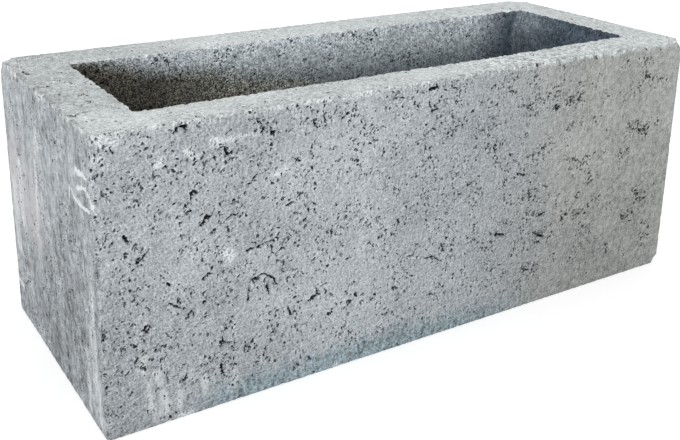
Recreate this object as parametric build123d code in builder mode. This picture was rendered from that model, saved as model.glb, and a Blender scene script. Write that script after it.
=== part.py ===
"""Hollow garden wall block, pressed in one piece from dry concrete.

The block stands as it is laid: the length runs along X, the depth along Y with the
front at -Y, and the height along Z. The origin is the middle of the bed face.
All sizes are in millimetres.
"""

import os

from build123d import *

# Overall size of one block
block_length = 500.0
block_depth = 200.0
block_height = 200.0

# Walls around the open core, measured on the top face
end_wall = 40.0
side_wall = 40.0

# The core that forms the cavity leans in towards the bed, so that it draws out upwards
core_lean = 1.5
core_corner_radius = 6.0

# Arrises left by the mould box, the tamper and the pallet
upright_edge_radius = 4.0
top_edge_radius = 2.5
mouth_edge_radius = 1.5
bed_edge_radius = 1.5

# The cavity at the top of the block, and where the core ends at the bed
mouth_length = block_length - 2 * end_wall
mouth_depth = block_depth - 2 * side_wall
core_foot_length = mouth_length - 2 * core_lean
core_foot_depth = mouth_depth - 2 * core_lean

bed_plane = Plane.XY
top_plane = bed_plane.offset(block_height)

with BuildPart() as wall_block:
    # Outside of the block, with its upright corners
    with BuildSketch(bed_plane):
        RectangleRounded(block_length, block_depth, upright_edge_radius)
    extrude(amount=block_height)

    # Outer rims of the top face and of the bed face
    top_rim = wall_block.faces().sort_by(Axis.Z)[-1].edges()
    fillet(top_rim, top_edge_radius)
    bed_rim = wall_block.faces().sort_by(Axis.Z)[0].edges()
    fillet(bed_rim, bed_edge_radius)

    # Open core, right through from the top face to the bed
    with BuildSketch(bed_plane):
        RectangleRounded(core_foot_length, core_foot_depth, core_corner_radius)
    with BuildSketch(top_plane):
        RectangleRounded(mouth_length, mouth_depth, core_corner_radius)
    loft(ruled=True, mode=Mode.SUBTRACT)

    # Rim of the cavity's mouth
    mouth_rim = wall_block.faces().sort_by(Axis.Z)[-1].inner_wires()[0].edges()
    fillet(mouth_rim, mouth_edge_radius)

wall_block.part.label = "wall_block"

os.makedirs("parts", exist_ok=True)
export_step(wall_block.part, "parts/wall_block.step")
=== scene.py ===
import math
import time

import bmesh
import bpy
from mathutils import Matrix, Vector


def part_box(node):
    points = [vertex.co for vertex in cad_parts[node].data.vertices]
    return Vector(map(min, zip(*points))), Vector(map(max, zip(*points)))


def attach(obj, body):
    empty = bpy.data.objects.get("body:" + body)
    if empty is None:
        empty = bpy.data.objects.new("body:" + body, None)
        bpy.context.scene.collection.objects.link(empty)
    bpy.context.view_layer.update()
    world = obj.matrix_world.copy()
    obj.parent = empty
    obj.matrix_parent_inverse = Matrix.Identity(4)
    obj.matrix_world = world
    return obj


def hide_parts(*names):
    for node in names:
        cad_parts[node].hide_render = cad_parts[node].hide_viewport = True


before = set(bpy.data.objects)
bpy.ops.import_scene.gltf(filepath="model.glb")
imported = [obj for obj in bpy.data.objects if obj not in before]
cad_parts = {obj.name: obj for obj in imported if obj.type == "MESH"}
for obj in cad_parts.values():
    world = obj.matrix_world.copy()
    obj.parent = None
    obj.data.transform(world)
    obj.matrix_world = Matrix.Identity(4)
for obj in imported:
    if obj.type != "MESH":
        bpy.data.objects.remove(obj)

startTime = time.time()
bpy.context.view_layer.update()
mm = 0.001

scene = bpy.context.scene
scene.view_settings.view_transform = "Standard"

blockLow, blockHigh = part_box("wall_block")
blockSize = blockHigh - blockLow
blockMiddle = (blockLow + blockHigh) / 2
halfLength = blockSize.x / 2
halfDepth = blockSize.y / 2


def report(stage):
    print(f"{stage}: {time.time() - startTime:.1f} s")


# helpers for edit mode and for nodes

def pickOnly(obj):
    bpy.ops.object.select_all(action="DESELECT")
    obj.select_set(True)
    bpy.context.view_layer.objects.active = obj


def pickFaces(obj, test):
    mesh = bmesh.from_edit_mesh(obj.data)
    bpy.ops.mesh.select_mode(type="FACE")
    bpy.ops.mesh.select_all(action="DESELECT")
    for face in mesh.faces:
        if test(face.calc_center_median(), face.normal):
            face.select_set(True)
    bmesh.update_edit_mesh(obj.data)


def pickEdges(obj, test):
    mesh = bmesh.from_edit_mesh(obj.data)
    bpy.ops.mesh.select_mode(type="EDGE")
    bpy.ops.mesh.select_all(action="DESELECT")
    for edge in mesh.edges:
        first, second = edge.verts
        if test(first.co, second.co):
            edge.select_set(True)
    bmesh.update_edit_mesh(obj.data)


def applyModifier(obj, kind, name, **settings):
    modifier = obj.modifiers.new(name, kind)
    for key, value in settings.items():
        setattr(modifier, key, value)
    bpy.ops.object.modifier_apply(modifier=modifier.name)


def feed(tree, socket, value):
    if isinstance(value, bpy.types.NodeSocket):
        tree.links.new(value, socket)
    else:
        socket.default_value = value


def calc(tree, operation, *values):
    node = tree.nodes.new("ShaderNodeMath")
    node.operation = operation
    for socket, value in zip(node.inputs, values):
        feed(tree, socket, value)
    return node.outputs[0]


def total(tree, *values):
    result = values[0]
    for value in values[1:]:
        result = calc(tree, "ADD", result, value)
    return result


def product(tree, *values):
    result = values[0]
    for value in values[1:]:
        result = calc(tree, "MULTIPLY", result, value)
    return result


def vec(tree, operation, *values):
    node = tree.nodes.new("ShaderNodeVectorMath")
    node.operation = operation
    for socket, value in zip(node.inputs, values):
        feed(tree, socket, value)
    return node.outputs["Value" if operation in ("LENGTH", "DISTANCE", "DOT_PRODUCT") else "Vector"]


def ramp(tree, value, low, high, start=0.0, end=1.0):
    node = tree.nodes.new("ShaderNodeMapRange")
    node.interpolation_type = "SMOOTHSTEP"
    for socket, number in zip(node.inputs, (value, low, high, start, end)):
        feed(tree, socket, number)
    return node.outputs[0]


def noise(tree, place, size, detail=2.0, stretch=None, colour=False):
    if stretch:
        place = vec(tree, "MULTIPLY", place, stretch)
    node = tree.nodes.new("ShaderNodeTexNoise")
    feed(tree, node.inputs["Vector"], place)
    node.inputs["Scale"].default_value = 1.0 / size
    node.inputs["Detail"].default_value = detail
    return node.outputs[1 if colour else 0]


def cellEdge(tree, place, size):
    node = tree.nodes.new("ShaderNodeTexVoronoi")
    node.feature = "DISTANCE_TO_EDGE"
    feed(tree, node.inputs["Vector"], place)
    node.inputs["Scale"].default_value = 1.0 / size
    return calc(tree, "MULTIPLY", node.outputs["Distance"], size)


def scaled(tree, vector, factor):
    node = tree.nodes.new("ShaderNodeVectorMath")
    node.operation = "SCALE"
    feed(tree, node.inputs[0], vector)
    feed(tree, node.inputs["Scale"], factor)
    return node.outputs["Vector"]


def centred(tree, value, share):
    return calc(tree, "MULTIPLY_ADD", value, share, -0.5 * share)


def near(tree, value, centre, reach):
    away = calc(tree, "ABSOLUTE", calc(tree, "SUBTRACT", value, centre))
    return ramp(tree, away, 0.0, reach, 1.0, 0.0)


def split(tree, vector):
    node = tree.nodes.new("ShaderNodeSeparateXYZ")
    feed(tree, node.inputs[0], vector)
    return node.outputs


def mix(tree, share, first, second):
    node = tree.nodes.new("ShaderNodeMix")
    node.data_type = "RGBA"
    node.clamp_factor = True
    feed(tree, node.inputs[0], share)
    feed(tree, node.inputs[6], first)
    feed(tree, node.inputs[7], second)
    return node.outputs[2]


def tone(red, green, blue):
    def linear(level):
        level = level / 255
        return level / 12.92 if level < 0.04045 else ((level + 0.055) / 1.055) ** 2.4
    return (linear(red), linear(green), linear(blue), 1.0)


# the block's own mesh

block = dict(
    name="weathered_block",
    wall=40 * mm,            # round the open core, at the top
    coreLean=1.5 * mm,       # the core is this much smaller all round at the bed
    coreCorner=3 * mm,
    uprightEdge=2.2 * mm,
    topEdge=2.5 * mm,
    mouthEdge=2.0 * mm,
    bedEdge=0.8 * mm,
    voxel=0.85 * mm,
    triangles=190000,
    smoothAngle=math.radians(40),
)
coreHalfLength = halfLength - block["wall"]
coreHalfDepth = halfDepth - block["wall"]


def bevelPicked(width, segments):
    bpy.ops.mesh.bevel(offset=width, segments=segments, profile=0.5, affect="EDGES",
                       clamp_overlap=True)


def pressBlock():
    tiny = 0.1 * mm
    bpy.ops.object.select_all(action="DESELECT")
    bpy.ops.mesh.primitive_cube_add(size=1, scale=blockSize, location=blockMiddle)
    piece = bpy.context.object
    piece.name = block["name"]
    bpy.ops.object.transform_apply(location=True, rotation=True, scale=True)

    def inCore(point):
        return abs(point.x) < coreHalfLength + tiny and abs(point.y) < coreHalfDepth + tiny

    def rises(first, second):
        return abs(first.z - second.z) > blockSize.z / 2

    def level(first, second, height):
        return max(abs(first.z - height), abs(second.z - height)) < tiny

    def outerRim(first, second, height):
        return level(first, second, height) and not inCore(first) and not inCore(second)

    bpy.ops.object.mode_set(mode="EDIT")
    # open core, from the top face down to the bed
    pickFaces(piece, lambda centre, normal: normal.z > 0.9)
    bpy.ops.mesh.inset(thickness=block["wall"])
    pickFaces(piece, lambda centre, normal: normal.z < -0.9)
    bpy.ops.mesh.inset(thickness=block["wall"] + block["coreLean"])
    pickFaces(piece, lambda centre, normal: abs(normal.z) > 0.9 and centre.xy.length < tiny)
    bpy.ops.mesh.bridge_edge_loops()

    # upright corners, outside and in the core
    pickEdges(piece, lambda first, second: rises(first, second) and not inCore(first))
    bevelPicked(block["uprightEdge"], 3)
    pickEdges(piece, lambda first, second: rises(first, second) and inCore(first))
    bevelPicked(block["coreCorner"], 4)

    # rims of the top face, the bed and the mouth
    top, bed = blockHigh.z, blockLow.z
    pickEdges(piece, lambda first, second: outerRim(first, second, top))
    bevelPicked(block["topEdge"], 3)
    pickEdges(piece, lambda first, second: outerRim(first, second, bed))
    bevelPicked(block["bedEdge"], 2)
    pickEdges(piece, lambda first, second: level(first, second, top) and inCore(first) and inCore(second))
    bevelPicked(block["mouthEdge"], 2)
    bpy.ops.mesh.select_all(action="SELECT")
    bpy.ops.mesh.normals_make_consistent(inside=False)
    bpy.ops.object.mode_set(mode="OBJECT")
    report(f"block pressed, {len(piece.data.polygons)} faces")
    return piece


# which face a point of the pressed block is on, and the voids between its grains;
# the mesh and the colour both use these

def faceShares(tree, place):
    x, y, z = split(tree, place)
    reachX = calc(tree, "ABSOLUTE", x)
    reachY = calc(tree, "ABSOLUTE", y)
    margin = 0.8 * mm
    soft = 3 * mm
    core = calc(tree, "MULTIPLY", calc(tree, "LESS_THAN", reachX, coreHalfLength + margin),
                calc(tree, "LESS_THAN", reachY, coreHalfDepth + margin))
    outside = calc(tree, "SUBTRACT", 1.0, core)
    face = dict(
        x=x, y=y, z=z, reachX=reachX, reachY=reachY, core=core,
        end=ramp(tree, reachX, halfLength - soft, halfLength - margin),
        side=ramp(tree, reachY, halfDepth - soft, halfDepth - margin),
        top=product(tree, ramp(tree, z, blockHigh.z - soft, blockHigh.z - margin), outside),
    )
    face["front"] = product(tree, face["side"], calc(tree, "LESS_THAN", y, 0.0))
    face["leftEnd"] = product(tree, face["end"], calc(tree, "LESS_THAN", x, 0.0))
    face["across"] = calc(tree, "ADD", x, halfLength)      # along the front, from its left edge
    face["fromFront"] = calc(tree, "ADD", y, halfDepth)    # along an end, from its front edge
    face["wander"] = noise(tree, place, 2.0 * mm, 1.0, colour=True)
    return face


# marks drawn as strokes on a face: from across, from up, to across, to up and reach, in mm;
# gives how far a point is outside the nearest stroke

def bentSpot(tree, face, across, up, bent, carried=0.0):
    wanderAcross, wanderUp, unused = split(tree, face["wander"])
    bentAcross = calc(tree, "ADD", across, centred(tree, wanderAcross, bent))
    bentUp = calc(tree, "ADD", up, centred(tree, wanderUp, bent))
    spot = tree.nodes.new("ShaderNodeCombineXYZ")
    for socket, value in zip(spot.inputs, (bentAcross, bentUp, carried)):
        feed(tree, socket, value)
    return spot.outputs[0]


def strokeGap(tree, face, across, up, marks, bent):
    # the least gap so far is carried in z, so that Cycles works the strokes out one by one
    carried = bentSpot(tree, face, across, up, bent, 20 * mm)
    for startAcross, startUp, endAcross, endUp, reach in marks:
        start = Vector((startAcross, startUp, 0)) * mm
        run = Vector((endAcross, endUp, 0)) * mm - start
        away = vec(tree, "SUBTRACT", carried, start)
        along = calc(tree, "MULTIPLY", vec(tree, "DOT_PRODUCT", away, run / run.length_squared), 1.0)
        along.node.use_clamp = True
        flat = vec(tree, "MULTIPLY", vec(tree, "SUBTRACT", away, scaled(tree, run, along)), (1, 1, 0))
        gap = calc(tree, "SUBTRACT", vec(tree, "LENGTH", flat), reach * mm)
        carried = vec(tree, "MINIMUM", carried, vec(tree, "MULTIPLY_ADD", gap, (0, 0, 1), (1, 1, 0)))
    return split(tree, carried)[2]


voids = dict(
    ragged=1.2 * mm,          # how far the outlines wander
    lean=math.radians(-40),
    squeeze=0.62,
    gapGrain=6.0 * mm,        # grains that the long gaps run round
    gapWidth=0.5 * mm,
    gapPatch=4.6 * mm,        # length of a gap before it closes
    gapShut=0.66,
    poreGrain=1.9 * mm,       # spacing of the round pores
    poreSmall=0.2 * mm,
    poreLarge=1.25 * mm,
    cluster=20 * mm,          # pores gather in patches of this size
    # the width of the painted highlight round a pore and a gap
    rim=0.7 * mm,             # pale rim round a pore
    crowdReach=9 * mm,
    crowdBend=12 * mm,
    rightPores=0.85,          # pores are larger to the right by this share
    corePores=0.05,
)

# more or fewer voids, by place
voidShare = dict(
    overall=-0.49,
    crowd=0.14,
    end=-0.045,
    top=-0.08,
    right=-0.135,
    rightEdge=-0.12,
    core=-0.065,
    foot=-0.10,
)

# where pores crowd on the front, across and up from its lower left corner in mm
crowds = (
    (12, 197), (42, 196), (50, 196), (108, 187), (114, 187), (82, 178), (91, 176), (70, 134),
    (80, 132), (12, 95), (50, 79), (64, 71), (48, 31), (98, 38), (108, 84), (120, 82), (132, 80),
    (146, 78), (118, 105), (124, 100), (140, 118), (148, 127), (132, 53), (146, 48), (160, 43),
    (180, 158), (217, 94), (232, 68), (248, 66), (244, 182), (258, 157), (310, 111), (320, 114),
    (332, 116), (348, 123), (356, 126), (363, 164), (308, 70), (317, 69), (352, 59), (366, 62),
    (380, 67), (306, 39), (322, 36), (340, 33), (392, 86), (402, 96), (437, 112), (448, 137),
    (458, 132), (468, 127), (467, 67),
)


def voidField(tree, place, face):
    wander = vec(tree, "SUBTRACT", face["wander"], (0.5, 0.5, 0.5))
    ragged = vec(tree, "ADD", place, scaled(tree, wander, voids["ragged"] * 2))
    turn = tree.nodes.new("ShaderNodeVectorRotate")
    turn.rotation_type = "Y_AXIS"
    turn.inputs["Angle"].default_value = voids["lean"]
    feed(tree, turn.inputs["Vector"], ragged)
    leaned = vec(tree, "MULTIPLY", turn.outputs[0], (1.0, 1.0, voids["squeeze"]))
    rightward = product(tree, face["side"], ramp(tree, face["x"], 20 * mm, 180 * mm))
    rightEdge = product(tree, face["side"], ramp(tree, face["x"], 232 * mm, 242 * mm))
    foot = ramp(tree, face["z"], blockLow.z + 8 * mm, blockLow.z + 22 * mm, 1.0, 0.0)
    spot = bentSpot(tree, face, face["across"], face["z"], voids["crowdBend"])
    crowd = blockSize.x
    for across, up in crowds:
        crowd = calc(tree, "MINIMUM", crowd, vec(tree, "DISTANCE", spot, (across * mm, up * mm, 0)))
    crowd = product(tree, face["front"], ramp(tree, crowd, 2 * mm, voids["crowdReach"], 1.0, 0.0))
    lift = total(
        tree, noise(tree, place, voids["cluster"]), voidShare["overall"],
        product(tree, crowd, voidShare["crowd"]),
        product(tree, face["end"], voidShare["end"]),
        product(tree, face["top"], voidShare["top"]),
        product(tree, rightward, voidShare["right"]),
        product(tree, rightEdge, voidShare["rightEdge"]),
        product(tree, face["core"], voidShare["core"]),
        product(tree, foot, face["side"], voidShare["foot"]),
    )

    # long gaps round the larger grains
    edge = cellEdge(tree, leaned, voids["gapGrain"])
    gate = calc(tree, "MULTIPLY_ADD", lift, 0.5, noise(tree, place, voids["gapPatch"], 0.0))
    opened = ramp(tree, gate, voids["gapShut"], voids["gapShut"] + 0.2)
    width = calc(tree, "MULTIPLY", opened, voids["gapWidth"])
    gap = ramp(tree, edge, calc(tree, "MULTIPLY", width, 0.4), calc(tree, "ADD", width, 1e-6), 1.0, 0.0)
    # painted highlight: a lighter rim round the open gaps, and below round the larger pores
    gapHighlight = product(tree, ramp(tree, edge, width, calc(tree, "ADD", width, voids["rim"]), 1.0, 0.0),
                     ramp(tree, gate, voids["gapShut"], voids["gapShut"] + 0.1))

    # round pores
    cell = tree.nodes.new("ShaderNodeTexVoronoi")
    feed(tree, cell.inputs["Vector"], leaned)
    cell.inputs["Scale"].default_value = 1.0 / voids["poreGrain"]
    away = calc(tree, "MULTIPLY", cell.outputs["Distance"], voids["poreGrain"])
    size, strength, unused = split(tree, cell.outputs["Color"])
    radius = calc(tree, "MULTIPLY_ADD", calc(tree, "POWER", size, 1.5),
                  voids["poreLarge"] - voids["poreSmall"], voids["poreSmall"])
    larger = total(tree, product(tree, rightward, voids["rightPores"]),
                   product(tree, face["core"], voids["corePores"]), 1.0)
    radius = product(tree, radius, ramp(tree, lift, -0.16, 0.09, 0.15, 1.0), larger)
    pore = ramp(tree, away, calc(tree, "MULTIPLY", radius, 0.6), radius, 1.0, 0.0)
    pore = product(tree, pore, ramp(tree, strength, 0.0, 0.6, 0.6, 1.0))
    poreHighlight = product(tree, ramp(tree, away, radius, calc(tree, "ADD", radius, voids["rim"]), 1.0, 0.0),
                      ramp(tree, radius, 0.3 * mm, 0.6 * mm))
    return gap, pore, calc(tree, "MAXIMUM", gapHighlight, poreHighlight)


# weathering of the mesh

wear = dict(
    gapDepth=2.6 * mm,
    poreDepth=1.8 * mm,
    creviceDepth=3.2 * mm,
    creviceBend=3.5 * mm,    # how far a crevice strays from its stroke
    coreRough=1.3 * mm,
    roughSize=6 * mm,
    waviness=0.25 * mm,
    waveSize=60 * mm,
    crumble=4.5 * mm,
    crumbleReach=5 * mm,
    crumbleSize=4 * mm,
    crumbleFrom=0.46,        # crumbs break out where the noise is above this
    cornerPasses=150,
    frontRim=8 * mm,         # how far the mouth's rim has worn back along the front
    rightRim=7 * mm,         # and at the right end
    rimReach=18 * mm,        # down the core
)

# corners that have lost their sharpness, with the reach of the wear
wornCorners = (
    (-halfLength, halfDepth, blockHigh.z, 9 * mm), (halfLength, -halfDepth, blockHigh.z, 8 * mm),
    (halfLength, halfDepth, blockHigh.z, 12 * mm), (halfLength, -halfDepth, blockLow.z, 7 * mm),
)

# larger crevices on the front, from its lower left corner
crevices = (
    # along the top edge
    (51, 193, 54, 195, 1.0), (56, 196, 59, 196, 1.0), (109, 184, 112, 186, 1.0),
    (116, 182, 118, 183, 1.2), (147, 185, 150, 180, 0.8), (168, 183, 173, 187, 0.9),
    (239, 193, 247, 194, 1.0), (240, 183, 242, 177, 0.7), (242, 177, 248, 178, 0.8),
    (244, 182, 246, 179, 0.7), (278, 172, 280, 172, 1.1), (295, 186, 299, 189, 0.7),
    # upper left: the dark notch, the hook, the long pair and what lies round them
    (84, 177, 86, 173, 1.1), (86, 173, 89, 175, 1.0), (80, 179, 84, 178, 0.8),
    (132, 162, 134, 161, 0.8), (135, 162, 137, 159, 0.8), (100, 151, 106, 157, 0.8),
    (102, 156, 105, 153, 0.6), (139, 142, 142, 145, 0.6), (61, 153, 63, 154, 1.1),
    (63, 154, 65, 152, 0.9), (61, 152, 61, 149, 0.9), (57, 145, 59, 146, 1.0),
    (80, 142, 82, 144, 0.9), (88, 141, 90, 144, 0.7), (67, 130, 71, 137, 1.0),
    (71, 134, 75, 137, 0.8), (84, 131, 88, 133, 0.9), (88, 133, 92, 133, 0.7),
    (74, 124, 77, 126, 1.0), (17, 135, 19, 132, 1.0), (19, 132, 20, 130, 0.9),
    (140, 129, 144, 124, 0.7), (145, 130, 149, 127, 0.7), (127, 131, 131, 133, 0.7),
    (132, 132, 135, 133, 0.7),
    # middle left: the fork, the chain of pits and the arch
    (29, 118, 33, 122, 0.9), (25, 114, 26, 118, 0.8), (25, 115, 29, 117, 0.5),
    (98, 106, 102, 107, 1.0), (106, 107, 112, 109, 0.9), (112, 109, 118, 109, 0.8),
    (67, 94, 71, 97, 0.9), (98, 70, 99, 80, 0.7), (100, 84, 106, 86, 0.8), (106, 86, 110, 87, 1.0),
    (110, 87, 116, 83, 0.6), (117, 82, 120, 76, 0.8), (112, 78, 114, 71, 0.9),
    (40, 99, 43, 97, 0.6), (43, 97, 46, 95, 0.9), (162, 83, 165, 84, 0.8), (189, 76, 191, 77, 1.0),
    (173, 82, 177, 82, 0.7), (176, 61, 180, 63, 0.6), (180, 63, 185, 60, 0.6),
    # low on the left
    (44, 83, 52, 78, 0.7), (55, 70, 59, 74, 1.0), (27, 70, 29, 67, 0.9), (27, 70, 30, 73, 0.8),
    (29, 67, 31, 72, 0.8), (14, 42, 16, 44, 1.1), (41, 36, 41, 29, 0.7), (51, 36, 54, 39, 0.7),
    (52, 26, 54, 30, 0.9), (11, 62, 15, 60, 0.7), (16, 27, 18, 30, 0.7), (142, 57, 147, 60, 0.8),
    (147, 60, 151, 62, 1.0), (128, 58, 130, 51, 0.8), (159, 44, 162, 44, 1.1),
    (175, 44, 177, 48, 0.7), (175, 49, 179, 49, 0.8), (115, 41, 121, 47, 0.9),
    (78, 43, 80, 49, 0.9), (80, 46, 89, 42, 0.8), (78, 29, 80, 22, 0.8), (110, 31, 112, 33, 0.9),
    (104, 24, 105, 23, 0.9), (176, 23, 181, 24, 0.7),
    # right
    (213, 50, 217, 48, 1.0), (256, 155, 258, 160, 0.8), (261, 156, 263, 161, 0.7),
    (326, 115, 334, 113, 1.0), (312, 108, 316, 113, 0.9), (442, 112, 448, 115, 0.9),
    (392, 85, 395, 87, 1.2), (464, 65, 469, 69, 1.2), (469, 63, 475, 66, 0.9),
    (481, 74, 486, 78, 0.8), (349, 75, 358, 77, 0.7), (376, 65, 380, 68, 1.0),
    (308, 69, 318, 67, 1.0), (353, 58, 358, 57, 1.1), (216, 95, 217, 103, 0.6),
    (226, 71, 232, 71, 0.7), (241, 66, 249, 65, 0.7), (249, 65, 255, 61, 0.7),
    (305, 39, 310, 41, 0.8), (338, 32, 341, 35, 0.9), (357, 161, 361, 165, 0.8),
    (361, 160, 365, 163, 0.8), (453, 136, 455, 137, 1.2), (388, 146, 391, 150, 0.8),
)

# nicks in the top face, across and back from its front left corner
nicks = (
    (7, 111, 12, 111, 1.3), (3, 42, 6, 40, 1.4), (8, 43, 13, 45, 1.3), (21, 80, 25, 83, 1.4),
    (22, 66, 25, 64, 1.4), (40, 113, 41, 114, 1.2), (9, 72, 11, 72, 1.2), (23, 20, 24, 21, 1.4),
    (6, 155, 7, 147, 1.6), (55, 15, 56, 16, 1.2), (314, 24, 318, 22, 1.7), (43, 15, 44, 14, 1.2),
    (174, 12, 176, 13, 1.0), (14, 58, 16, 60, 1.2), (30, 95, 32, 97, 1.1), (12, 27, 14, 28, 1.1),
)


def wornShare(tree, place):
    share = 0.0
    for x, y, z, reach in wornCorners:
        gap = vec(tree, "DISTANCE", place, (x, y, z))
        share = calc(tree, "MAXIMUM", share, ramp(tree, gap, 0.35 * reach, reach, 1.0, 0.0))
    return share


# the mouth's rim, rounded off at the front and at the right

def rimShift(tree, face):
    high = ramp(tree, face["z"], blockHigh.z - wear["rimReach"], blockHigh.z)
    skin = 4 * mm
    inLength = ramp(tree, face["reachX"], coreHalfLength, halfLength - skin, 1.0, 0.0)
    inDepth = ramp(tree, face["reachY"], coreHalfDepth, halfDepth - skin, 1.0, 0.0)
    frontWall = calc(tree, "MULTIPLY", ramp(tree, face["y"], skin - halfDepth, -coreHalfDepth),
                     ramp(tree, face["y"], -coreHalfDepth, -coreHalfDepth / 3, 1.0, 0.0))
    rightWall = calc(tree, "MULTIPLY",
                     ramp(tree, face["x"], coreHalfLength - block["wall"], coreHalfLength),
                     ramp(tree, face["x"], coreHalfLength, halfLength - skin, 1.0, 0.0))
    worn = ramp(tree, face["x"], 60 * mm, coreHalfLength, wear["frontRim"], wear["frontRim"] / 2)
    shift = tree.nodes.new("ShaderNodeCombineXYZ")
    feed(tree, shift.inputs["X"], product(tree, high, rightWall, inDepth, wear["rightRim"]))
    feed(tree, shift.inputs["Y"], product(tree, high, frontWall, inLength, worn, -1.0))
    return shift.outputs[0]


def storeValue(tree, geometry, name, kind, value):
    store = tree.nodes.new("GeometryNodeStoreNamedAttribute")
    store.data_type = kind
    store.inputs["Name"].default_value = name
    feed(tree, store.inputs["Geometry"], geometry)
    feed(tree, store.inputs["Value"], value)
    return store.outputs[0]


def weatherTree():
    tree = bpy.data.node_groups.new("weathering", "GeometryNodeTree")
    tree.interface.new_socket("Geometry", in_out="INPUT", socket_type="NodeSocketGeometry")
    tree.interface.new_socket("Geometry", in_out="OUTPUT", socket_type="NodeSocketGeometry")
    source = tree.nodes.new("NodeGroupInput")
    result = tree.nodes.new("NodeGroupOutput")
    place = tree.nodes.new("GeometryNodeInputPosition").outputs[0]
    normal = tree.nodes.new("GeometryNodeInputNormal").outputs[0]
    face = faceShares(tree, place)

    # how near an outer edge or the mouth's rim is
    toEnd = calc(tree, "SUBTRACT", halfLength, face["reachX"])
    toSide = calc(tree, "SUBTRACT", halfDepth, face["reachY"])
    toTop = calc(tree, "SUBTRACT", blockHigh.z, face["z"])
    toBed = calc(tree, "SUBTRACT", face["z"], blockLow.z)
    toLevel = calc(tree, "MINIMUM", toTop, toBed)
    nearer = calc(tree, "MINIMUM", toEnd, toSide)
    further = calc(tree, "MAXIMUM", toEnd, toSide)
    edge = calc(tree, "MAXIMUM", nearer, calc(tree, "MINIMUM", further, toLevel))
    nearEdge = ramp(tree, edge, 0.0, wear["crumbleReach"], 1.0, 0.0)
    fromMouth = calc(tree, "MAXIMUM", calc(tree, "SUBTRACT", face["reachX"], coreHalfLength),
                     calc(tree, "SUBTRACT", face["reachY"], coreHalfDepth))
    nearMouth = ramp(tree, calc(tree, "MAXIMUM", fromMouth, toTop), 0.0, wear["crumbleReach"], 1.0, 0.0)
    nearRim = calc(tree, "MAXIMUM", nearEdge, nearMouth)

    gap, pore, rim = voidField(tree, place, face)
    creviceGap = strokeGap(tree, face, face["across"], face["z"], crevices, wear["creviceBend"])
    off = 5 * mm   # keeps a face's strokes off the other faces
    creviceGap = calc(tree, "MAXIMUM", creviceGap, ramp(tree, face["front"], 0.4, 0.6, off, -off))
    nickGap = strokeGap(tree, face, face["across"], face["fromFront"], nicks, wear["creviceBend"])
    nickGap = calc(tree, "MAXIMUM", nickGap, ramp(tree, face["top"], 0.4, 0.6, off, -off))
    creviceGap = calc(tree, "MINIMUM", creviceGap, nickGap)
    crevice = ramp(tree, creviceGap, -0.8 * mm, 0.1 * mm, 1.0, 0.0)
    crumbs = calc(tree, "SUBTRACT", noise(tree, place, wear["crumbleSize"]), wear["crumbleFrom"])
    crumbs = calc(tree, "MAXIMUM", crumbs, 0.0)
    crumbs = product(tree, crumbs, calc(tree, "MULTIPLY_ADD", nearMouth, 1.7, 0.4))
    rough = noise(tree, place, wear["roughSize"])
    wave = noise(tree, place, wear["waveSize"], 1.0)
    depth = calc(tree, "MAXIMUM", product(tree, gap, wear["gapDepth"]),
                 product(tree, pore, wear["poreDepth"]))
    depth = calc(tree, "MAXIMUM", depth, product(tree, crevice, wear["creviceDepth"]))
    depth = total(tree, depth, product(tree, crumbs, nearRim, wear["crumble"]),
                  product(tree, calc(tree, "SUBTRACT", rough, 0.5), face["core"], wear["coreRough"]),
                  product(tree, wave, wear["waviness"]))
    inward = calc(tree, "MULTIPLY", depth, -1.0)
    offset = vec(tree, "ADD", scaled(tree, normal, inward), rimShift(tree, face))

    worn = tree.nodes.new("GeometryNodeBlurAttribute")
    worn.data_type = "FLOAT_VECTOR"
    feed(tree, worn.inputs["Value"], place)
    feed(tree, worn.inputs["Iterations"], wear["cornerPasses"])
    feed(tree, worn.inputs["Weight"], wornShare(tree, place))

    geometry = storeValue(tree, source.outputs["Geometry"], "restPlace", "FLOAT_VECTOR", place)
    geometry = storeValue(tree, geometry, "creviceGap", "FLOAT", creviceGap)
    move = tree.nodes.new("GeometryNodeSetPosition")
    feed(tree, move.inputs["Geometry"], geometry)
    feed(tree, move.inputs["Position"], worn.outputs[0])
    feed(tree, move.inputs["Offset"], offset)
    feed(tree, result.inputs["Geometry"], move.outputs[0])
    return tree


def weatherBlock(piece):
    pickOnly(piece)
    applyModifier(piece, "REMESH", "grid", mode="VOXEL", voxel_size=block["voxel"])
    report(f"fine grid, {len(piece.data.polygons)} faces")
    applyModifier(piece, "NODES", "weathering", node_group=weatherTree())
    report("weathered")
    triangles = 2 * len(piece.data.polygons)
    applyModifier(piece, "DECIMATE", "thin", ratio=block["triangles"] / triangles)
    report(f"thinned to {len(piece.data.polygons)} faces")
    for vertex in piece.data.vertices:
        for axis in range(3):
            vertex.co[axis] = min(max(vertex.co[axis], blockLow[axis]), blockHigh[axis])
    bpy.ops.object.shade_smooth_by_angle(angle=block["smoothAngle"])


# finish

finish = dict(
    coolPaste=tone(168, 173, 177),
    warmPaste=tone(160, 162, 160),
    topPaste=tone(204, 209, 210),
    # the core's colours hold painted shade: lighter near the mouth, darker and bluer with depth, and a
    # brown painted cast shadow at the left
    coreLitPaste=tone(196, 205, 210),
    coreDepthShade=tone(114, 123, 128),
    coreShadowDeep=tone(82, 79, 71),
    coreShadowLight=tone(132, 133, 126),
    coreRightTone=tone(77, 89, 100),
    # painted shade: the colour of the shade in pores and gaps, and darker still in the crevices
    pitShade=tone(36, 38, 41),
    creviceShade=tone(22, 24, 26),
    bloom=tone(226, 230, 232),
    damp=tone(140, 154, 160),
    blush=tone(198, 195, 198),
    roughness=0.92,
    specular=0.25,
    grainRelief=0.3 * mm,
    sandRelief=0.5 * mm,
    # how strongly the painted highlight lightens the rim round a pore
    rimHighlight=0.25,           # pale rim round a pore
    leastLevel=0.12,
)

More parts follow.
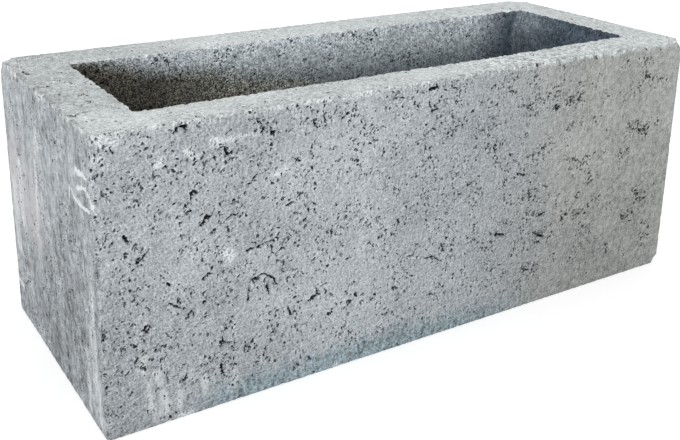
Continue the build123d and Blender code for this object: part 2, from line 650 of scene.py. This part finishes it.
# sizes of the grains that colour the surface
grainSize = dict(
    cloud=45 * mm,
    mottle=4.5 * mm,
    sand=2.4 * mm,
    flake=1.2 * mm,
    grain=0.85 * mm,
    # painted relief shading: the grain drawn as if lit from one side
    reliefShade=1.5 * mm,          # grain lit from one side
    drawn=2.2 * mm,          # streaks down the ends
    washed=12 * mm,
    streak=4 * mm,           # streaks above the damp
)

# how strongly each of them shows
contrast = dict(
    grain=1.65, reliefShade=0.85, sand=0.5, mottle=0.55, cloud=0.55,
    rightGrain=-0.3, rightMottle=0.5,
    dampSand=1.5, dampDrawn=1.2,
    endDrawn=0.9, endWashed=1.1, endMottle=1.1,
    topSand=0.7, topGrain=-0.3, lumpMottle=1.0, lumpSand=0.8,
    coreMottle=0.5, coreSand=0.7, coreFlake=0.55, shadowFlake=1.0, shadowGrain=0.8,
)

# lighter and darker places; the two for the rounded top edge are painted shade, where that edge catches
# more light
shades = dict(
    leftMiddle=0.09, rightMiddle=-0.11, lowLeft=-0.10, lowRight=-0.17,
    leftEdge=-0.10, rightEdge=0.10, bevelShade=-0.05,
    topLeft=-0.13, leftRim=-0.03, arrisShade=-0.10,
    end=-0.03, endDusk=-0.38, endFarUp=0.08,
)

# white lime on the front, and the runs that it left low down, from the lower left corner
limeMarks = (
    (4, 197, 8, 192, 2.0), (11, 195, 15, 192, 2.0), (3, 186, 7, 185, 1.4), (39, 174, 43, 177, 2.2),
    (58, 180, 65, 176, 1.8), (76, 184, 81, 182, 2.6), (81, 182, 96, 184, 1.2),
    (96, 184, 108, 183, 0.6), (83, 108, 87, 105, 3.4), (118, 154, 126, 156, 1.6),
    (48, 1, 56, 2, 1.5), (166, 3, 167, 1, 1.5),
)
limeRuns = (
    (29, 31, 29, 14, 2.2), (32, 12, 32, 5, 1.5), (38, 20, 38, 10, 4), (49, 18, 48, 9, 2.5),
    (57, 33, 57, 17, 1.0), (26, 53, 26, 42, 1.8), (34, 37, 35, 31, 3), (66, 26, 66, 12, 1.5),
    (88, 20, 88, 8, 2),
)
# scrapes on the left end and the pale bands that water left there, from its lower front corner
scrapeMarks = (
    (28, 173, 10, 171, 1.3), (25, 164, 15, 164, 1.8), (15, 164, 6, 162, 1.3), (4, 160, 2, 155, 1.2),
    (44, 155, 45, 147, 0.9), (39, 154, 37, 151, 0.9), (37, 151, 24, 149, 1.1),
    (24, 149, 8, 151, 1.2), (28, 152, 22, 151, 0.8), (196, 26, 184, 25, 1.4),
)
paleBands = (
    (12, 112, 14, 99, 2.5), (14, 99, 15, 65, 4.5), (15, 65, 14, 33, 5.5), (14, 33, 9, 8, 5.5),
    (30, 50, 31, 5, 3), (116, 168, 124, 117, 3.5), (124, 117, 129, 89, 3), (166, 130, 166, 85, 6),
    (185, 110, 185, 60, 7),
)


def grainFields(tree, place):
    size = grainSize
    # painted relief shading: the grain less itself shifted to one side, lighter on one side of each grain
    # and darker on the other
    besides = vec(tree, "ADD", place, (size["reliefShade"], 0.0, -0.6 * size["reliefShade"]))
    here = noise(tree, place, size["reliefShade"])
    there = noise(tree, besides, size["reliefShade"])
    return dict(
        cloud=noise(tree, place, size["cloud"], 3.0),
        mottle=noise(tree, place, size["mottle"], 3.0),
        streak=noise(tree, place, size["streak"], stretch=(1.0, 1.0, 0.12)),
        grain=noise(tree, place, size["grain"]),
        sand=noise(tree, place, size["sand"]),
        flake=noise(tree, place, size["flake"]),
        drawn=noise(tree, place, size["drawn"], 3.0, stretch=(1.0, 1.0, 0.16)),
        reliefShade=calc(tree, "SUBTRACT", here, there),
        washed=noise(tree, place, size["washed"], 3.0, stretch=(1.0, 1.0, 0.4)),
    )


# cool on the left, warmer and darker at the lower right, pale on top

def pasteTone(tree, face, grains):
    x, z = face["x"], face["z"]
    spread = calc(tree, "ADD", x, centred(tree, grains["cloud"], 120 * mm))
    warmth = product(tree, ramp(tree, spread, 20 * mm, 150 * mm), calc(tree, "SUBTRACT", 1.0, face["core"]))
    colour = mix(tree, warmth, finish["coolPaste"], finish["warmPaste"])
    fringe = calc(tree, "ADD", z, centred(tree, grains["mottle"], 3 * mm))
    pale = ramp(tree, fringe, blockHigh.z - 5 * mm, blockHigh.z - 0.5 * mm)
    colour = mix(tree, pale, colour, finish["topPaste"])

    low = ramp(tree, z, 20 * mm, 150 * mm, 1.0, 0.0)
    drift = total(
        tree,
        product(tree, near(tree, x, -88 * mm, 65 * mm), shades["leftMiddle"]),
        product(tree, ramp(tree, x, -60 * mm, -190 * mm), low, shades["lowLeft"]),
        product(tree, near(tree, x, 50 * mm, 90 * mm), shades["rightMiddle"]),
        product(tree, low, warmth, shades["lowRight"]),
        product(tree, ramp(tree, x, 232 * mm, 244 * mm), shades["rightEdge"]),
        product(tree, ramp(tree, x, -225 * mm, -242 * mm), low, shades["leftEdge"]),
        # painted shade on the pale strip at the top of the sides, where the rounded edge catches more light
        product(tree, pale, shades["bevelShade"]),
    )
    topLeft = product(tree, face["top"], ramp(tree, x, -110 * mm, -205 * mm),
                      ramp(tree, face["fromFront"], 28 * mm, 62 * mm), shades["topLeft"])
    leftRim = product(tree, face["top"], ramp(tree, x, -210 * mm, -228 * mm), shades["leftRim"])
    # painted shade on the rounded top edge of the sides and ends, where it catches more light
    arrisShade = calc(tree, "MAXIMUM", ramp(tree, face["reachY"], halfDepth - 6 * mm, halfDepth - 2 * mm),
                 ramp(tree, face["reachX"], halfLength - 6 * mm, halfLength - 2 * mm))
    arrisShade = product(tree, arrisShade, ramp(tree, z, blockHigh.z - 5 * mm, blockHigh.z - 2 * mm), shades["arrisShade"])
    return colour, total(tree, product(tree, drift, face["side"]), topLeft, leftRim, arrisShade)


# core, painted darker and bluer with depth as the shade in the hollow, and a painted brown cast shadow at
# its left

def coreTone(tree, face, grains):
    into = calc(tree, "SUBTRACT", blockHigh.z, face["z"])
    into = calc(tree, "ADD", into, centred(tree, grains["cloud"], 14 * mm))
    fromLeft = calc(tree, "ADD", face["x"], coreHalfLength)
    # painted cast shadow: a brown shade below a line that drops towards the right, as the left wall shades
    # the core; darkest at the left
    coreShadow = ramp(tree, calc(tree, "MULTIPLY_ADD", fromLeft, -0.22, into), -16 * mm, 8 * mm)
    # painted shade in the hollow: light near the mouth, darker and bluer with depth
    colour = mix(tree, ramp(tree, into, 4 * mm, 48 * mm), finish["coreLitPaste"], finish["coreDepthShade"])
    shadowTone = mix(tree, ramp(tree, fromLeft, 50 * mm, 170 * mm), finish["coreShadowDeep"], finish["coreShadowLight"])
    colour = mix(tree, coreShadow, colour, shadowTone)
    # darker and bluer towards the core's right end, less so in a strip by its back right corner
    farEnd = ramp(tree, face["x"], 150 * mm, coreHalfLength - 2 * mm)
    atEnd = product(tree, ramp(tree, face["x"], coreHalfLength - 5 * mm, coreHalfLength - 1 * mm),
                    ramp(tree, face["y"], 0.0, 50 * mm, 0.0, 0.25))
    farEnd = calc(tree, "SUBTRACT", farEnd, product(tree, farEnd, atEnd))
    return mix(tree, farEnd, colour, finish["coreRightTone"]), coreShadow


# damp band along the foot of the front

def dampShare(tree, face, grains):
    rise = total(tree, face["z"], centred(tree, grains["streak"], -18 * mm),
                 centred(tree, grains["cloud"], 20 * mm))
    along = product(tree, ramp(tree, face["x"], -200 * mm, -170 * mm),
                    ramp(tree, face["x"], 20 * mm, 110 * mm, 1.0, 0.0))
    return product(tree, face["front"], along, ramp(tree, rise, 8 * mm, 22 * mm, 1.0, 0.0))


# how light each point is beside its colour

def toneLevel(tree, face, grains, drift, damp, coreShadow, rightward):
    def part(grain, strength):
        return centred(tree, grains[grain], contrast[strength])

    # all over, with a calmer grain to the right
    # painted relief shading on the front and the back, added to the grain
    lit = calc(tree, "MULTIPLY_ADD", product(tree, grains["reliefShade"], face["side"]), contrast["reliefShade"],
               part("grain", "grain"))
    fine = calc(tree, "MULTIPLY", lit, calc(tree, "MULTIPLY_ADD", rightward, contrast["rightGrain"], 1.0))
    level = total(tree, fine, part("sand", "sand"), part("mottle", "mottle"), part("cloud", "cloud"),
                  drift, 1.0)
    level = calc(tree, "MULTIPLY_ADD", rightward, part("mottle", "rightMottle"), level)
    wet = total(tree, part("sand", "dampSand"), part("drawn", "dampDrawn"))
    level = calc(tree, "MULTIPLY_ADD", damp, wet, level)

    # ends, drawn in streaks and dusky low down
    dusk = product(tree, ramp(tree, face["z"], 50 * mm, 150 * mm, 1.0, 0.0),
                   ramp(tree, face["z"], 5 * mm, 30 * mm, 0.6, 1.0),
                   near(tree, face["fromFront"], 85 * mm, 110 * mm))
    farUp = product(tree, ramp(tree, face["fromFront"], 80 * mm, 135 * mm),
                    ramp(tree, face["z"], 50 * mm, 100 * mm))
    ends = total(tree, part("drawn", "endDrawn"), part("washed", "endWashed"), part("mottle", "endMottle"),
                 product(tree, dusk, shades["endDusk"]), product(tree, farUp, shades["endFarUp"]),
                 shades["end"])
    level = calc(tree, "MULTIPLY_ADD", face["end"], ends, level)

    # top, lumpy on its front rim to the right of the middle
    tops = total(tree, part("sand", "topSand"), part("grain", "topGrain"))
    level = calc(tree, "MULTIPLY_ADD", face["top"], tops, level)
    lumpy = product(tree, face["top"], ramp(tree, face["x"], 0.0, 50 * mm),
                    ramp(tree, face["x"], 140 * mm, 190 * mm, 1.0, 0.0),
                    ramp(tree, face["fromFront"], 20 * mm, 60 * mm, 1.0, 0.0))
    lumps = total(tree, part("mottle", "lumpMottle"), part("sand", "lumpSand"))
    level = calc(tree, "MULTIPLY_ADD", lumpy, lumps, level)

    # core, speckled, most of all in its painted cast shadow
    speck = total(tree, product(tree, grains["mottle"], contrast["coreMottle"]), part("sand", "coreSand"),
                  part("flake", "coreFlake"))
    speck = ramp(tree, speck, 0.06, 0.45, 0.68, 1.3)
    crumb = total(tree, part("flake", "shadowFlake"), part("grain", "shadowGrain"))
    crumb = ramp(tree, crumb, -0.11, 0.13, 0.40, 1.6)
    speck = product(tree, speck, ramp(tree, coreShadow, 0.0, 1.0, 1.0, crumb))
    return product(tree, level, ramp(tree, face["core"], 0.0, 1.0, 1.0, speck))


# lime and scrapes, broken up by the grain

def whiteMarks(tree, face, grains):
    limeGap = strokeGap(tree, face, face["across"], face["z"], limeMarks, 7 * mm)
    lime = product(tree, ramp(tree, limeGap, -2 * mm, 2 * mm, 1.0, 0.0),
                   ramp(tree, grains["flake"], 0.41, 0.53, 0.05, 1.0))
    runGap = strokeGap(tree, face, face["across"], face["z"], limeRuns, 5 * mm)
    runs = product(tree, ramp(tree, runGap, -2 * mm, 2 * mm, 1.0, 0.0),
                   ramp(tree, grains["streak"], 0.35, 0.6, 0.1, 0.55))
    onFront = product(tree, face["front"], calc(tree, "MAXIMUM", lime, runs))
    scrapeGap = strokeGap(tree, face, face["fromFront"], face["z"], scrapeMarks, 3 * mm)
    scrapeGap = calc(tree, "ADD", scrapeGap, centred(tree, grains["flake"], 3 * mm))
    scrape = ramp(tree, scrapeGap, -0.5 * mm, 0.5 * mm, 0.95, 0.0)
    bandGap = strokeGap(tree, face, face["fromFront"], face["z"], paleBands, 8 * mm)
    band = product(tree, ramp(tree, bandGap, -4 * mm, 3 * mm, 0.75, 0.0),
                   ramp(tree, grains["drawn"], 0.35, 0.6, 0.4, 1.0))
    onEnd = product(tree, face["leftEnd"], calc(tree, "MAXIMUM", scrape, band))
    return calc(tree, "MAXIMUM", onFront, onEnd)


# pinkish patch on the far half of the left end

def flushShare(tree, face, grains):
    return product(tree, face["leftEnd"], ramp(tree, face["fromFront"], 95 * mm, 125 * mm),
                   ramp(tree, face["z"], 65 * mm, 95 * mm),
                   ramp(tree, face["z"], 130 * mm, 165 * mm, 1.0, 0.0),
                   ramp(tree, grains["washed"], 0.35, 0.6, 0.2, 0.7))


# painted shade in the gaps and pores, and dark flecks painted as the shade of pores too small for the mesh,
# on the left of the front and back and in the core
def pitShadeShare(tree, face, grains, gap, pore, rightward):
    flecks = product(tree, face["side"], calc(tree, "SUBTRACT", 1.0, rightward),
                     ramp(tree, grains["flake"], 0.25, 0.35, 0.6, 0.0))
    coreFlecks = product(tree, face["core"], ramp(tree, grains["flake"], 0.34, 0.39, 0.8, 0.0))
    pit = calc(tree, "MAXIMUM", gap, calc(tree, "MULTIPLY", pore, 0.95))
    return calc(tree, "MAXIMUM", pit, calc(tree, "MAXIMUM", flecks, coreFlecks))


def concreteMaterial():
    material = bpy.data.materials.new("pressed_concrete")
    material.use_nodes = True
    tree = material.node_tree
    shader = tree.nodes["Principled BSDF"]
    rest = tree.nodes.new("ShaderNodeAttribute")
    rest.attribute_name = "restPlace"
    place = rest.outputs["Vector"]
    carved = tree.nodes.new("ShaderNodeAttribute")
    carved.attribute_name = "creviceGap"
    face = faceShares(tree, place)
    gap, pore, rim = voidField(tree, place, face)
    grains = grainFields(tree, place)
    rightward = ramp(tree, face["x"], 40 * mm, 200 * mm)

    colour, drift = pasteTone(tree, face, grains)
    coreColour, coreShadow = coreTone(tree, face, grains)
    colour = mix(tree, face["core"], colour, coreColour)
    damp = dampShare(tree, face, grains)
    colour = mix(tree, damp, colour, finish["damp"])
    level = toneLevel(tree, face, grains, drift, damp, coreShadow, rightward)
    level = calc(tree, "MAXIMUM", level, finish["leastLevel"])
    # the level scales the colour, and a painted highlight lightens the rims round gaps and pores
    colour = scaled(tree, colour, calc(tree, "MULTIPLY_ADD", rim, finish["rimHighlight"], level))
    colour = mix(tree, flushShare(tree, face, grains), colour, finish["blush"])
    colour = mix(tree, whiteMarks(tree, face, grains), colour, finish["bloom"])
    # painted shade in the gaps, pores and flecks
    colour = mix(tree, pitShadeShare(tree, face, grains, gap, pore, rightward), colour, finish["pitShade"])
    # painted shade in the crevices and nicks carved into the mesh
    carvedGap = calc(tree, "ADD", carved.outputs["Fac"], centred(tree, grains["grain"], 1.6 * mm))
    crevice = ramp(tree, carvedGap, -0.25 * mm, 0.2 * mm, 1.0, 0.0)
    colour = mix(tree, crevice, colour, finish["creviceShade"])

    feed(tree, shader.inputs["Base Color"], colour)
    shader.inputs["Roughness"].default_value = finish["roughness"]
    shader.inputs["Specular IOR Level"].default_value = finish["specular"]
    bump = tree.nodes.new("ShaderNodeBump")
    bump.inputs["Strength"].default_value = 1.0
    bump.inputs["Distance"].default_value = 1.0
    feed(tree, bump.inputs["Height"], total(tree, product(tree, grains["grain"], finish["grainRelief"]),
                                            product(tree, grains["sand"], finish["sandRelief"])))
    feed(tree, shader.inputs["Normal"], bump.outputs[0])
    return material


piece = pressBlock()
weatherBlock(piece)
piece.data.materials.clear()
piece.data.materials.append(concreteMaterial())
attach(piece, "root")
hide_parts("wall_block")


# floor, light and camera

stage = dict(
    floorSize=12.0,
    sky=0.84,
    lampSize=1.5,
    lampPlace=(-1.7, -1.8, 0.9),
    lampPower=26.0,
    floorPaint=0.75,
    floorLift=0.45,
)


def layFloor():
    bpy.ops.mesh.primitive_plane_add(size=stage["floorSize"], location=(0, 0, blockLow.z))
    floor = bpy.context.object
    floor.name = "floor"
    material = bpy.data.materials.new("pale_floor")
    material.use_nodes = True
    tree = material.node_tree
    tree.nodes.clear()
    output = tree.nodes.new("ShaderNodeOutputMaterial")
    paint = tree.nodes.new("ShaderNodeBsdfDiffuse")
    paint.inputs["Color"].default_value = (stage["floorPaint"],) * 3 + (1.0,)
    glow = tree.nodes.new("ShaderNodeEmission")
    path = tree.nodes.new("ShaderNodeLightPath")
    seen = calc(tree, "MAXIMUM", path.outputs["Is Camera Ray"], path.outputs["Is Glossy Ray"])
    seen = calc(tree, "MAXIMUM", seen, path.outputs["Is Transmission Ray"])
    feed(tree, glow.inputs["Strength"], calc(tree, "MULTIPLY", seen, stage["floorLift"]))
    both = tree.nodes.new("ShaderNodeAddShader")
    feed(tree, both.inputs[0], paint.outputs[0])
    feed(tree, both.inputs[1], glow.outputs[0])
    feed(tree, output.inputs["Surface"], both.outputs[0])
    floor.data.materials.append(material)


def lightStudio():
    world = bpy.data.worlds.new("studio")
    scene.world = world
    world.use_nodes = True
    tree = world.node_tree
    backdrop = tree.nodes["Background"]
    backdrop.inputs["Color"].default_value = (1, 1, 1, 1)
    path = tree.nodes.new("ShaderNodeLightPath")
    seen = calc(tree, "MAXIMUM", path.outputs["Is Camera Ray"], path.outputs["Is Glossy Ray"])
    seen = calc(tree, "MAXIMUM", seen, path.outputs["Is Transmission Ray"])
    feed(tree, backdrop.inputs["Strength"], ramp(tree, seen, 0.0, 1.0, stage["sky"], 1.0))
    bpy.ops.object.light_add(type="AREA", location=stage["lampPlace"])
    lamp = bpy.context.object
    lamp.data.size = stage["lampSize"]
    lamp.data.energy = stage["lampPower"]
    lamp.rotation_euler = (blockMiddle - Vector(stage["lampPlace"])).to_track_quat("-Z", "Y").to_euler()


cameraView = dict(
    eye=(-0.4062, -0.6058, 0.3742),
    aim=(-0.0178, 0.0037, 0.1504),
    roll=math.radians(0.97),
    lens=51.3,
    shiftY=-0.1587,
)


def placeCamera():
    lens = bpy.data.cameras.new("view")
    lens.sensor_width = 36
    lens.lens = cameraView["lens"]
    lens.shift_y = cameraView["shiftY"]
    camera = bpy.data.objects.new("view", lens)
    scene.collection.objects.link(camera)
    eye = Vector(cameraView["eye"])
    turn = (Vector(cameraView["aim"]) - eye).to_track_quat("-Z", "Y").to_matrix()
    camera.rotation_euler = (turn @ Matrix.Rotation(cameraView["roll"], 3, "Z")).to_euler()
    camera.location = eye
    scene.camera = camera


layFloor()
lightStudio()
placeCamera()
report("stage set")
